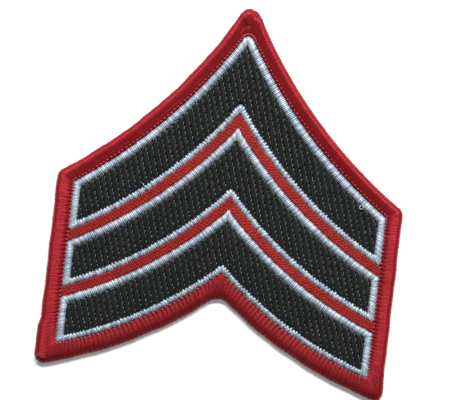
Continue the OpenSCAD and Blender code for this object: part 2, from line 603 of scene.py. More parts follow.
@dataclass(frozen=True)
class ThreadFinish:
    """Twisted, glossy embroidery thread.

    Attributes:
        name: Name of the material.
        dark: Colour of its darkest stitches.
        light: Colour of its lightest stitches.
        roughness: Roughness of the shader.
        specular: Specular level of the shader.
        twist: Length of one turn of the plies, in millimetres.
        relief: Strength of the plies' and fibres' bump.
        metal: How metallic the shader is, which keeps the highlight in the thread's colour.
        grain: How far the highlight is drawn out along the thread.
        sheen: Weight of the sheen.
        sheen_tint: Colour of the sheen.
        uneven: How far the stitches' tones differ.
        cloud: How far the tone differs from place to place.
        fuzz: How far the fibres' tones differ.
        crease_shade: Painted shade, dark spots on the thread where it is drawn in.
        fibres: Scale of the fibres along the thread, round it, and from stitch to stitch.
        plies: Number of plies.
        ply_share: Height of the plies beside the fibres'.
    """

    name: str
    dark: str
    light: str
    roughness: float
    specular: float
    twist: float
    relief: float
    metal: float
    grain: float
    sheen: float = 0.0
    sheen_tint: str = "#ffffff"
    uneven: float = 0.45
    cloud: float = 0.4
    fuzz: float = 0.25
    crease_shade: CreaseShade = CreaseShade()
    fibres: tuple[float, float, float] = (1.3, 9.0, 3.7)
    plies: int = 2
    ply_share: float = 0.5

    def material(self) -> bpy.types.Material:
        """Build the material: a tone for each stitch, painted shade at its creases, plies, and
        fine fibres along it.

        Returns:
            The material.
        """
        s = Shader(self.name)
        uv = s.add("ShaderNodeSeparateXYZ", {0: s.add("ShaderNodeUVMap",
                                                      uv_map=UV_NAME).outputs[0]})
        along, number = uv.outputs[0], s.math("FLOOR", uv.outputs[1])
        around = s.math("FRACT", uv.outputs[1])
        tone = s.add("ShaderNodeTexWhiteNoise", {1: number}, noise_dimensions="1D").outputs[0]
        place = s.place()
        cloud = s.add("ShaderNodeTexNoise", {"Vector": place, "Scale": 90.0, "Detail": 2.0})
        lines = s.add("ShaderNodeCombineXYZ", {
            axis: s.math("MULTIPLY", value, scale)
            for axis, (value, scale) in enumerate(zip((along, around, number), self.fibres))})
        fibre = s.add("ShaderNodeTexNoise", {"Vector": lines.outputs[0], "Scale": 1.0,
                                             "Detail": 2.0}).outputs[0]
        turn = s.math("MULTIPLY", around, 2 * math.pi * self.plies)
        ply = s.math("SINE", s.math("ADD", s.math("MULTIPLY", along,
                                                  2 * math.pi / self.twist), turn))
        mixed = s.math("ADD", s.math("MULTIPLY", tone, self.uneven),
                       s.math("MULTIPLY", cloud.outputs[0], self.cloud))
        mixed = s.math("ADD", mixed, s.math("MULTIPLY", fibre, self.fuzz))
        # Painted shade at the creases is mixed into the colour
        base = self.with_crease_shade(s, place, s.blend(mixed, linear(self.dark), linear(self.light)))
        height = s.math("ADD", s.math("MULTIPLY", ply, self.ply_share), fibre)
        bump = s.add("ShaderNodeBump", {"Strength": self.relief, "Distance": 0.00004,
                                        "Height": height}).outputs[0]
        tangent = s.add("ShaderNodeTangent", direction_type="UV_MAP", uv_map=UV_NAME)
        return s.finish(Base_Color=base, Roughness=self.roughness, Metallic=self.metal,
                        Anisotropic=self.grain, Anisotropic_Rotation=0.25,
                        Tangent=tangent.outputs[0], Specular_IOR_Level=self.specular,
                        Sheen_Weight=self.sheen, Sheen_Roughness=0.35,
                        Sheen_Tint=linear(self.sheen_tint), Normal=bump)

    def with_crease_shade(self, s: Shader, place: bpy.types.NodeSocket,
                base: bpy.types.NodeSocket) -> bpy.types.NodeSocket:
        """Paint shade into the thread's colour at its creases.

        Args:
            s: The material's shader.
            place: Place on the patch.
            base: Colour without the creases.

        Returns:
            The colour with them.
        """
        c = self.crease_shade
        for x, y in c.spots:
            away = s.add("ShaderNodeVectorMath", {0: place, 1: (x * MM, y * MM, c.height * MM)},
                         operation="DISTANCE").outputs["Value"]
            near = s.add("ShaderNodeMapRange", {0: away, 1: c.gone_beyond * MM,
                                                2: c.dark_within * MM},
                         interpolation_type="SMOOTHSTEP").outputs[0]
            base = s.blend(s.math("MULTIPLY", near, c.share), base, linear(c.colour))
        return base


@dataclass(frozen=True)
class UnderlayFinish:
    """Matte padding stitches under a covering of thread, coloured darker than the thread: real
    padding, with painted shade in the gaps between stitches.
    """

    name: str
    dark: str
    light: str

    def material(self) -> bpy.types.Material:
        """Build the material: crossed padding threads, seen only in the gaps.

        Returns:
            The material.
        """
        s = Shader(self.name)
        wave = s.add("ShaderNodeTexWave", {"Vector": s.place(), "Scale": 700.0,
                                           "Distortion": 1.5, "Detail": 1.0},
                     bands_direction="DIAGONAL")
        base = s.blend(wave.outputs[0], linear(self.dark), linear(self.light))
        bump = s.add("ShaderNodeBump", {"Strength": 0.6, "Distance": 0.00005,
                                        "Height": wave.outputs[0]}).outputs[0]
        return s.finish(Base_Color=base, Roughness=0.85, Specular_IOR_Level=0.2, Normal=bump)


@dataclass(frozen=True)
class TwillFinish:
    """Black polyester twill with a stiff backing, whose yarns are seldom quite dark."""

    name: str
    dark: str
    light: str
    yarn_least: float = 0.6

    def material(self) -> bpy.types.Material:
        """Build the material: diagonal ribs, yarns across them, and a little lint.

        Returns:
            The material.
        """
        s = Shader(self.name)
        place = s.place()
        rib = s.add("ShaderNodeTexWave", {"Vector": place, "Scale": 420.0, "Distortion": 0.4,
                                          "Detail": 1.0}, bands_direction="DIAGONAL")
        yarn = s.add("ShaderNodeTexWave", {"Vector": place, "Scale": 900.0, "Distortion": 0.3,
                                           "Detail": 1.0}, bands_direction="Y")
        weave = s.math("MULTIPLY", rib.outputs[0],
                       s.math("ADD", yarn.outputs[0], self.yarn_least))
        lint = s.add("ShaderNodeTexNoise", {"Vector": place, "Scale": 2500.0, "Detail": 3.0})
        base = s.blend(s.math("MULTIPLY", weave, lint.outputs[0]), linear(self.dark),
                       linear(self.light))
        bump = s.add("ShaderNodeBump", {"Strength": 0.7, "Distance": 0.00008,
                                        "Height": weave}).outputs[0]
        return s.finish(Base_Color=base, Roughness=0.8, Specular_IOR_Level=0.3,
                        Sheen_Weight=0.1, Normal=bump)


Finish = ThreadFinish | UnderlayFinish | TwillFinish

# Painted shade along the mitre seam and round the knob at the apex, where the wraps are drawn in
APEX_CREASE_SHADE = CreaseShade(((-0.1, 36.6), (-0.5, 37.1), (-0.9, 37.6), (-1.3, 38.1), (-1.7, 38.6),
                        (-2.1, 39.1), (-0.9, 39.5), (-0.2, 39.6), (0.5, 39.5), (1.2, 39.2)))
RED_THREAD = ThreadFinish("red_border_thread", dark="#7e181e", light="#9e202a",
                          roughness=0.53, specular=0.2, twist=0.9, relief=0.2, metal=0.52,
                          grain=0.6, uneven=0.3, crease_shade=APEX_CREASE_SHADE)
# Darker, duller copy of the red border thread: painted shade on the two side strands of each
# wrap on the bottom edges
SHADED_RED_THREAD = ThreadFinish("red_shaded_thread", dark="#64141a", light="#801a20",
                               roughness=0.62, specular=0.2, twist=0.9, relief=0.2, metal=0.35,
                               grain=0.4, uneven=0.3)
# Pinker and lighter than the border's thread: partly the needle thread's own tone, partly a
# painted highlight so each stitch shows as a bright dot
NEEDLE_THREAD = ThreadFinish("red_needle_thread", dark="#90343c", light="#b4585f",
                             roughness=0.5, specular=0.3, twist=0.7, relief=0.25, metal=0.2,
                             grain=0.2, sheen=0.1, sheen_tint="#ffb0b4")
STRIPE_THREAD = ThreadFinish("red_stripe_thread", dark="#6c1410", light="#a0241b",
                             roughness=0.5, specular=0.3, twist=0.7, relief=0.3, metal=0.3,
                             grain=0.5, sheen=0.05, sheen_tint="#ff9080")
PALE_THREAD = ThreadFinish("pale_blue_thread", dark="#55687b", light="#b8c4ce",
                           roughness=0.42, specular=0.4, twist=0.7, relief=0.3, metal=0.3,
                           grain=0.2, sheen=0.08, sheen_tint="#e8f4ff", uneven=0.6)
BLACK_THREAD = ThreadFinish("black_fill_thread", dark="#101211", light="#232725",
                            roughness=0.36, specular=0.5, twist=0.7, relief=0.35, metal=0.2,
                            grain=0.0, sheen=0.05, sheen_tint="#c8d0d0")
GREY_THREAD = ThreadFinish("grey_tail_thread", dark="#2c2e2e", light="#545858",
                           roughness=0.5, specular=0.4, twist=0.6, relief=0.4, metal=0.1,
                           grain=0.3, sheen=0.1, sheen_tint="#d0d0d0")
# Underlays darker than their threads: painted shade where they show between the stitches
RED_UNDERLAY = UnderlayFinish("red_underlay", dark="#6c1218", light="#8c1c22")
PALE_UNDERLAY = UnderlayFinish("pale_underlay", dark="#4c5c6c", light="#6e8294")
TWILL = TwillFinish("black_twill", dark="#0e0f0f", light="#2a2c2c")


class Finishes:
    """Materials that are built once and shared."""

    def __init__(self) -> None:
        """Start with none built."""
        self.built: dict[str, bpy.types.Material] = {}

    def get(self, finish: Finish) -> bpy.types.Material:
        """The material of a finish, built on first use.

        Args:
            finish: The finish.

        Returns:
            Its material.
        """
        if finish.name not in self.built:
            self.built[finish.name] = finish.material()
        return self.built[finish.name]


# ---- pieces -----------------------------------------------------------------------------------


@dataclass
class Piece:
    """Mesh under way, which becomes one object that rides on the patch.

    Attributes:
        name: Name of the object.
        finishes: Where its materials come from.
        bm: The mesh, in millimetres.
        merge: Distance within which a solid's loose corners are joined.
        low_shrink: How far a core is drawn in below the cloth's face.
    """

    name: str
    finishes: Finishes
    bm: bmesh.types.BMesh = field(default_factory=bmesh.new)
    merge: float = 0.002
    low_shrink: float = 0.14

    def core(self, node: str, shrink: float) -> None:
        """Add a drawn-in copy of a solid, so that no gap between threads shows through.

        Args:
            node: Name of the solid.
            shrink: How far its faces are drawn in above the cloth's face.
        """
        inner = bmesh.new()
        inner.from_mesh(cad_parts[node].data)
        bmesh.ops.scale(inner, verts=list(inner.verts), vec=(1 / MM,) * 3)
        bmesh.ops.remove_doubles(inner, verts=list(inner.verts), dist=self.merge)
        inner.normal_update()
        moves = [(vert, vert.normal.copy()) for vert in inner.verts]
        for vert, normal in moves:
            above = vert.co.z > PatchPlan.cloth_t
            vert.co -= normal * (shrink if above else self.low_shrink)
        for face in inner.faces:
            face.material_index = int(Coat.UNDERLAY)
            face.smooth = False
        held = bpy.data.meshes.new(f"{self.name}_core")
        inner.to_mesh(held)
        inner.free()
        self.bm.from_mesh(held)
        bpy.data.meshes.remove(held)

    def finish(self, finishes: list[Finish], slot: str | None = None,
               nodes: tuple[str, ...] = ()) -> None:
        """Make the object, in metres, and hide the solids that it replaces.

        Args:
            finishes: Finishes for its material slots.
            slot: Not used.
            nodes: Solids that it replaces.
        """
        bmesh.ops.scale(self.bm, verts=list(self.bm.verts), vec=(MM,) * 3)
        mesh = bpy.data.meshes.new(self.name)
        self.bm.to_mesh(mesh)
        self.bm.free()
        for finish in finishes:
            mesh.materials.append(self.finishes.get(finish))
        piece = bpy.data.objects.new(self.name, mesh)
        bpy.context.scene.collection.objects.link(piece)
        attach(piece, "root")
        if nodes:
            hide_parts(*nodes)
        mesh.calc_loop_triangles()
        log.info("%s: %d triangles", self.name, len(mesh.loop_triangles))


# ---- border -----------------------------------------------------------------------------------


@dataclass(frozen=True)
class BorderEdge:
    """How the wraps lie on one edge of the patch.

    Attributes:
        pitch: Spacing of the wraps.
        lean: How far their needle ends are moved on along the edge.
        gather: Share of a wrap's length over which its strands come together at the needle.
        spread: Share of the strands' spacing that is left there.
        slim: Share of the strands' width that is left there.
        knot_in: Distance of the needle stitches from the field's edge.
        reach: How much further out the wraps go than the bead's table, as a share.
        tight: How far the right half is drawn in, as a share of the border's width.
        bead: Section of the border from the field's edge over its crown to its underside:
            distance out, as a share of the border's width, and height over the cloth's face,
            as a share of the crown's, or below that face of the cloth's thickness.
        lip: Section of the padding under the needle ends: distance out and height.
        rough: Share of the usual unevenness in height.
        proud: How far the middle strand stands over its neighbours past the crown.
        ridge: Share of its thickness that the middle strand has there.
        shaded: Whether its neighbours take the darker, duller copy of the red thread, painted
            shade so that only the middle strand catches the light.
    """

    pitch: float
    lean: float
    gather: float
    spread: float
    slim: float
    knot_in: float
    reach: float
    tight: float
    bead: Profile
    lip: Profile = ((0.04, 1.08), (0.5, 1.3), (1.1, 1.5))
    rough: float = 1.0
    proud: float = 0.0
    ridge: float = 1.0
    worn: bool = False


BORDER_EDGES = {
    Edge.TOP: BorderEdge(
        pitch=0.95, lean=-0.45, gather=0.13, spread=0.7, slim=1.0, knot_in=0.52, reach=0.03,
        tight=0.055,
        bead=((0.00, 0.30), (0.12, 0.44), (0.26, 0.58), (0.42, 0.74), (0.56, 0.87),
              (0.66, 0.95), (0.74, 0.97), (0.82, 0.90), (0.89, 0.70), (0.95, 0.36),
              (0.99, -0.10), (0.97, -0.60), (0.88, -0.90), (0.76, -1.00))),
    Edge.SIDE: BorderEdge(
        pitch=0.9, lean=-0.2, gather=0.27, spread=0.2, slim=0.6, knot_in=0.18, reach=0.06,
        tight=0.055, rough=0.4, lip=((0.04, 1.25), (0.5, 1.55), (1.1, 1.75)),
        bead=((0.00, 0.42), (0.07, 0.56), (0.16, 0.69), (0.28, 0.81), (0.40, 0.90),
              (0.52, 0.95), (0.64, 0.97), (0.77, 0.95), (0.86, 0.86), (0.92, 0.64),
              (0.96, 0.28), (0.99, -0.20), (0.96, -0.65), (0.76, -1.00))),
    Edge.BOTTOM: BorderEdge(
        pitch=1.06, lean=-0.65, gather=0.4, spread=0.1, slim=0.3, knot_in=0.25, reach=0.13,
        tight=0.02, proud=0.05, ridge=0.65, worn=True,
        bead=((0.00, 0.70), (0.08, 0.73), (0.16, 0.77), (0.26, 0.83), (0.36, 0.89),
              (0.46, 0.94), (0.55, 0.96), (0.64, 0.92), (0.73, 0.81), (0.81, 0.63),
              (0.89, 0.35), (0.96, -0.05), (0.97, -0.60), (0.76, -1.00)))}


@dataclass(frozen=True)
class Flaw:
    """Small fault of the border, which fades away over its width."""

    x: float
    y: float
    width: float
    depth: float

    def at(self, point: np.ndarray, middle_y: float) -> float:
        """How deep it is at a point of the plan."""
        away = np.linalg.norm(point - np.array([self.x, self.y + middle_y]))
        return self.depth * math.exp(-(away / self.width) ** 2)


@dataclass(frozen=True)
class NeedleStitch:
    """Small stitch that holds one wrap down near the border's inner lip.

    Attributes:
        shift_by: How far it may lie further in or out.
        half_length: Range of half its length.
        tilt: How far its ends lie out and in of its middle.
        lift: Its height over the wraps.
        bow: How far its ends lie under its middle.
        lift_by: How far it may lie higher or lower.
        half_w: Half its width.
        half_h: Half its thickness.
        segments: Rings of faces along it.
        sides: Faces round it.
        taper: How its ends narrow.
    """

    shift_by: float = 0.08
    half_length: Range = (0.18, 0.28)
    tilt: float = 0.1
    lift: float = 0.01
    bow: float = 0.16
    lift_by: float = 0.02
    half_w: float = 0.15
    half_h: float = 0.12
    segments: int = 4
    sides: int = 6
    taper: Taper = Taper(0.5, 0.3)


@dataclass
class Border:
    """Merrowed edge: wraps of three strands, with a needle stitch at each wrap.

    Attributes:
        plan: Plan of the patch.
        finishes: Where the materials come from.
        edges: How the wraps lie on each edge.
        needle: The needle stitches.
        seam: Where a wrap has sunk in at the apex.
        nick: Where the border is drawn in beside the apex.
        strand_w: Half the width of a strand.
        strand_h: Half its thickness.
        segments: Rings of faces along a strand.
        sides: Faces round it.
        taper: How its ends narrow.
        core_in: How far the core lies under the solid's face.
        jitter: Uneven spacing of the wraps, as a share of the pitch.
        heart: A point inside the bead: distance out and height.
        under: Where a wrap runs under the cloth: distance out and room over the floor.
        hole: Where it goes down at the needle: distance out and height.
        smoothing: Weights of a ring's neighbours and itself as the section is smoothed.
        reach_ease: Distance out over which the edge's reach grows.
        blend_wraps: Wraps over which an edge's section eases into the next edge's.
        swell_from: Distance out past which a wrap is let out.
        swells: Waves along the border: depth as a share of its width, rate and phase.
        open_by: Share of a wrap's length, under the cloth, over which its strands part.
        lift_by: How far a wrap may lie higher or lower.
        strand_lift_by: How far each of its strands may.
        sway_by: How far a strand may lie to one side.
        size_range: Range of a strand's thickness.
        lip_pitch: Spacing of the padding's rungs.
        seed: Start of the random draws.
    """

    plan: PatchPlan
    finishes: Finishes
    edges: dict[Edge, BorderEdge] = field(default_factory=BORDER_EDGES.copy)
    needle: NeedleStitch = NeedleStitch()
    seam: Flaw = Flaw(-2.3, 38.7, width=0.5, depth=0.4)
    nick: Flaw = Flaw(1.5, 40.2, width=0.6, depth=0.1)
    strand_w: float = 0.28
    strand_h: float = 0.07
    segments: int = 20
    sides: int = 5
    taper: Taper = Taper(0.7, 0.1)
    core_in: float = 0.33
    jitter: float = 0.07
    heart: tuple[float, float] = (1.8, 1.0)
    under: Profile = ((0.4, 0.02), (1.5, 0.01))
    hole: tuple[float, float] = (0.02, 1.3)
    smoothing: tuple[float, float] = (0.25, 0.5)
    reach_ease: float = 2.0
    blend_wraps: int = 4
    swell_from: float = 0.5
    swells: tuple[tuple[float, float, float], ...] = (
        (0.014, 0.43, 0.0), (0.01, 0.91, 1.3), (0.006, 2.17, 0.4))
    open_by: float = 0.16
    lift_by: float = 0.015
    strand_lift_by: float = 0.012
    sway_by: float = 0.03
    size_range: Range = (0.95, 1.05)
    lip_pitch: float = 0.5
    seed: int = 11

    def section(self, edge: Edge) -> np.ndarray:
        """Middle line of a wrap in the border's section, from under the cloth to the needle.

        Args:
            edge: Edge of the patch that it lies on.

        Returns:
            Points of the distance out from the field's edge and the height.
        """
        p, style = self.plan, self.edges[edge]
        rim = np.array([(out * p.border_w, p.cloth_t + up * (p.cloth_t if up < 0
                                                             else p.border_rise))
                        for out, up in reversed(style.bead)])
        rim = rim - outward(rim, self.heart) * self.strand_h
        under = [[out, self.strand_h + room] for out, room in self.under]
        line = np.vstack([under, rim, self.hole])
        steps = np.concatenate([[0], np.cumsum(np.linalg.norm(np.diff(line, axis=0), axis=1))])
        at = np.linspace(0, steps[-1], self.segments + 1)
        line = np.stack([np.interp(at, steps, line[:, k]) for k in (0, 1)], axis=1)
        beside, own = self.smoothing
        line[1:-1] = beside * line[:-2] + own * line[1:-1] + beside * line[2:]
        line[:, 0] *= 1 + style.reach * np.clip(line[:, 0] / self.reach_ease, 0, 1)
        return line

    def sections(self, edge: Edge, count: int) -> list[np.ndarray]:
        """Middle line of each wrap of one edge, easing into the next edge's at its corners.

        Args:
            edge: Edge of the patch.
            count: Number of its wraps.

        Returns:
            A line for each wrap.
        """
        order = [None, *Edge, None]
        before, after = order[order.index(edge) - 1], order[order.index(edge) + 1]
        own, found = self.section(edge), []
        for i in range(count):
            line = own
            for other, steps in ((before, i), (after, count - 1 - i)):
                if other and steps < self.blend_wraps:
                    share = 0.5 * (1 - (steps + 0.5) / self.blend_wraps)
                    line = line * (1 - share) + self.section(other) * share
            found.append(line)
        return found

    def bands(self) -> list[tuple[Edge, Band]]:
        """The border's six edges, from the apex down, on the left and then on the right.

        Returns:
            Each edge with its strip.
        """
        p = self.plan
        top, bottom = p.row_arc(0), p.row_arc(3)
        outer = p.edges(top, bottom, -p.border_w, p.border_corners)
        inner = p.edges(top, bottom, 0.0, p.field_corners)
        return [(edge, Band(outer[edge], inner[edge], hand)) for hand in Hand for edge in Edge]

    def swell(self, number: int) -> float:
        """How far the border is let out at one wrap, as a share of its width."""
        return sum(depth * math.sin(rate * number + phase) for depth, rate, phase in self.swells)

    def wrap(self, bm: bmesh.types.BMesh, strands: tuple[Strand, ...], ends: list[Ends],
             section: np.ndarray, style: BorderEdge, number: int, rng: random.Random) -> None:
        """Lay one wrap of three strands that part over the crown and share a needle hole.

        Args:
            bm: Mesh of the piece.
            strands: Tube to copy for each strand.
            ends: Plan points of each strand, on the border's outer edge and the field's edge.
            section: Middle line of the wrap in the border's section.
            style: How wraps lie on this edge.
            number: Count of the wrap round the border.
            rng: Source of the unevenness.
        """
        p, centre = self.plan, len(ends) // 2
        outer, inner = ends[centre]
        swell = self.swell(number) - self.nick.at(outer, p.middle_y)
        if outer[0] > 0:
            swell -= style.tight
        share = section[:, 0] / p.border_w * (1 + swell * (section[:, 0] > self.swell_from))
        middle = inner + (outer - inner) * share[:, None]
        t = np.linspace(0, 1, len(section))
        upper = t > 0.5
        near = np.clip(np.minimum(t / self.open_by, (1 - t) / style.gather), 0, 1)
        opened = near * near * (3 - 2 * near)
        part = np.where(upper, style.spread + (1 - style.spread) * opened, opened)
        slim = np.where(upper, style.slim + (1 - style.slim) * opened, 1.0)
        side = level_side(inner, outer)
        lift = (rng.uniform(-self.lift_by, self.lift_by) * style.rough
                - self.seam.at(outer, p.middle_y))
        for k, (strand, (far, close)) in enumerate(zip(strands, ends)):
            sway = rng.uniform(-self.sway_by, self.sway_by)
            own = close + (far - close) * share[:, None]
            flat = middle + (own - middle) * part[:, None] - np.array([0, p.middle_y])
            path = np.column_stack([flat, section[:, 1]]) + (sway * part)[:, None] * side
            own_lift = rng.uniform(-self.strand_lift_by, self.strand_lift_by)
            path[:, 2] += (lift + own_lift * style.rough) * part
            size = self.taper.shares(len(section)) * rng.uniform(*self.size_range)
            if k == centre:
                path[:, 2] += np.where(upper, style.proud, 0.0)
            path[:, 2] = np.maximum(path[:, 2], self.strand_h)
            width = self.strand_w * slim
            if k == centre:
                size = size * np.where(upper, style.ridge, 1.0)
            strand.lay(bm, path, side, width * size, self.strand_h * size)

    def lip(self, bm: bmesh.types.BMesh, band: Band, style: BorderEdge) -> None:
        """Lay padding under the wraps' needle ends, where they part over the cloth.

        Args:
            bm: Mesh of the piece.
            band: Strip of the border that it lies along.
            style: How wraps lie on this edge.
        """
        rungs = []
        for [(outer, inner)] in band.crossings(self.lip_pitch, 0.0, 0.0, random.Random(0)):
            out = (outer - inner) / np.linalg.norm(outer - inner)
            rungs.append([bm.verts.new((*(inner + out * reach - (0, self.plan.middle_y)), z))
                          for reach, z in style.lip])
        for near, far in zip(rungs, rungs[1:]):
            for k in range(len(near) - 1):
                quad = (near[k], near[k + 1], far[k + 1], far[k])
                face = bm.faces.new(quad if band.hand is Hand.LEFT else quad[::-1])
                face.material_index = int(Coat.UNDERLAY)

    def knot(self, bm: bmesh.types.BMesh, strand: Strand, ends: Ends, section: np.ndarray,
             style: BorderEdge, rng: random.Random) -> None:
        """Lay the needle stitch of one wrap.

        Args:
            bm: Mesh of the piece.
            strand: Tube to copy.
            ends: Plan points of the wrap, on the border's outer edge and the field's edge.
            section: Middle line of the wrap in the border's section.
            style: How wraps lie on this edge.
            rng: Source of the unevenness.
        """
        (outer, inner), n = ends, self.needle
        out = (outer - inner) / np.linalg.norm(outer - inner)
        on = np.array([-out[1], out[0]])
        reach = style.knot_in + rng.uniform(-n.shift_by, n.shift_by)
        past_crown = section[np.argmax(section[:, 1]):][::-1]
        top = float(np.interp(reach, past_crown[:, 0], past_crown[:, 1])) + self.strand_h
        middle = inner + out * reach - np.array([0, self.plan.middle_y])
        t = np.linspace(-1, 1, strand.segments + 1)
        half = rng.uniform(*n.half_length)
        flat = middle + on * half * t[:, None] + out * n.tilt * t[:, None]
        z = top + n.lift - n.bow * t * t + rng.uniform(-n.lift_by, n.lift_by)
        size = n.taper.shares(len(t))
        strand.lay(bm, np.column_stack([flat, z]), level_side(flat[0], flat[-1]),
                   n.half_w * size, n.half_h * size)

    def build(self) -> None:
        """Make the wraps and the needle stitches."""
        rng = random.Random(self.seed)
        strand = Strand(self.segments, self.sides)
        # On the bottom edges the side strands take the darker copy, painted shade
        worn = Strand(self.segments, self.sides, Coat.WORN)
        small = Strand(self.needle.segments, self.needle.sides)
        wraps = Piece("border_wraps", self.finishes)
        wraps.core("border", self.core_in)
        needle = Piece("border_needle_stitches", self.finishes)
        number = 0
        for edge, band in self.bands():
            style = self.edges[edge]
            self.lip(wraps.bm, band, style)
            turns = band.crossings(style.pitch, style.lean, self.jitter, rng,
                                   (-1 / 3, 0.0, 1 / 3))
            beside = worn if style.worn else strand
            for ends, section in zip(turns, self.sections(edge, len(turns))):
                self.wrap(wraps.bm, (beside, strand, beside), ends, section, style, number, rng)
                self.knot(needle.bm, small, ends[1], section, style, rng)
                number += 1
        wraps.finish([RED_THREAD, RED_UNDERLAY, SHADED_RED_THREAD], "border_thread", ("border",))
        needle.finish([NEEDLE_THREAD], "border_thread")


@dataclass
class Lap:
    """Stretch on the left, above the foot, where the border's end laps over its start.

    Attributes:
        border: The border under it.
        extra: How far its wraps stand off the border's.
        start_out: Where they start, as a share of the border's width.
        start_below: Height below which they start.
        past_crown: Rings that they go on past the crown.
        heart: A point inside the bead: distance out and height.
        start_ease: Share of a wrap over which it leaves the border.
        end_ease: Share of a wrap over which it comes back, and the power of that curve.
        sink: How far it has sunk in where it ends.
        upper_ease: Share of the lap's length over which its upper end fades, and the power.
        lower_ease: The same for its lower end.
        sway_by: How far a wrap may lie to one side.
        size_range: Range of a strand's thickness.
        half_w: Half the width of a strand.
        half_h: Half its thickness.
        sides: Faces round it.
        taper: How its ends narrow.
        seed: Start of the random draws.
    """

    border: Border
    extra: float = 0.55
    start_out: float = 0.9
    start_below: float = 0.6
    past_crown: int = 2
    heart: tuple[float, float] = (1.8, 0.9)
    start_ease: float = 0.25
    end_ease: tuple[float, float] = (0.7, 1.5)
    sink: float = 0.06
    upper_ease: tuple[float, float] = (0.2, 1.5)
    lower_ease: tuple[float, float] = (0.08, 0.5)
    sway_by: float = 0.03
    size_range: Range = (0.95, 1.05)
    half_w: float = 0.2
    half_h: float = 0.12
    sides: int = 6
    taper: Taper = Taper(0.5, 0.2)
    seed: int = 5

    def lines(self) -> tuple[np.ndarray, np.ndarray]:
        """Where the lap's wraps run in the border's section.

        Returns:
            The border's own line there, and the same line let out to lie over it.
        """
        section = self.border.section(Edge.SIDE)
        away = np.abs(section[:, 0] - self.start_out * self.border.plan.border_w)
        first = int(np.argmin(np.where(section[:, 1] > self.start_below, np.inf, away)))
        last = int(np.argmax(section[:, 1])) + self.past_crown
        under = section[first:last + 1]
        t = np.linspace(0, 1, len(under))
        end, power = self.end_ease
        ease = np.clip(t / self.start_ease, 0, 1) * np.clip((1 - t) / end, 0, 1) ** power
        over = under + outward(under, self.heart) * (self.extra * ease - self.sink * t)[:, None]
        return under, over

    def fade(self, share: float) -> float:
        """How far the lap stands off at a share of its length from its lower end."""
        (upper, upper_power), (lower, lower_power) = self.upper_ease, self.lower_ease
        return (min(1.0, (1 - share) / upper) ** upper_power
                * min(1.0, share / lower) ** lower_power)

    def build(self) -> None:
        """Make the second layer of wraps."""
        plan, rng = self.border.plan, random.Random(self.seed)
        under, over = self.lines()
        strand = Strand(len(under) - 1, self.sides)
        piece = Piece("border_lap_wraps", self.border.finishes)
        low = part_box("border_lap")[0].y / MM
        count = round(plan.lap_l / (self.border.edges[Edge.SIDE].pitch / 3))
        for i in range(count):
            share = (i + 0.5) / count
            y = low + share * plan.lap_l + rng.uniform(-self.sway_by, self.sway_by)
            base, path = (np.column_stack([-(plan.half_w + line[:, 0]), np.full(len(line), y),
                                           line[:, 1]]) for line in (under, over))
            path = base + (path - base) * self.fade(share)
            size = self.taper.shares(len(path)) * rng.uniform(*self.size_range)
            strand.lay(piece.bm, path, np.array([0, -1.0, 0]), self.half_w * size,
                       self.half_h * size)
        piece.finish([RED_THREAD], "border_thread", ("border_lap",))


# ---- chevrons ---------------------------------------------------------------------------------


@dataclass(frozen=True)
class SatinEdge:
    """How the satin stitches lie on one edge of a chevron.

    Attributes:
        lean: How far their inner ends are moved on along the edge.
        rough: Share of the usual unevenness.
        full: How much wider than usual the thread is.
        drawn: How far the outer ends are drawn in, as a share of the outline's width.
        teeth: How far every second inner end is drawn in, and the others let out, likewise.
        skew: Over 1 if a stitch's crest lies nearer its inner end.
        short: How far the inner ends are drawn in, likewise.
    """

    lean: float
    rough: float
    full: float = 1.0
    drawn: float = 0.0
    teeth: float = 0.0
    skew: float = 1.0
    short: float = 0.0


SATIN_EDGES = {
    Edge.TOP: SatinEdge(lean=-0.1, rough=0.7, short=0.01),
    Edge.SIDE: SatinEdge(lean=-0.3, rough=0.35, full=1.2),
    Edge.BOTTOM: SatinEdge(lean=0.1, rough=1.0, drawn=-0.05, teeth=0.08, skew=1.25, short=0.26)}
ODD_SATIN_EDGES = {
    (Chevron.TOP, Edge.TOP, Hand.RIGHT):
        replace(SATIN_EDGES[Edge.TOP], skew=1.5, short=-0.09),
    (Chevron.BOTTOM, Edge.BOTTOM, Hand.LEFT):
        replace(SATIN_EDGES[Edge.BOTTOM], skew=1.45, short=0.28),
    (Chevron.BOTTOM, Edge.BOTTOM, Hand.RIGHT):
        replace(SATIN_EDGES[Edge.BOTTOM], skew=1.9, short=0.28)}


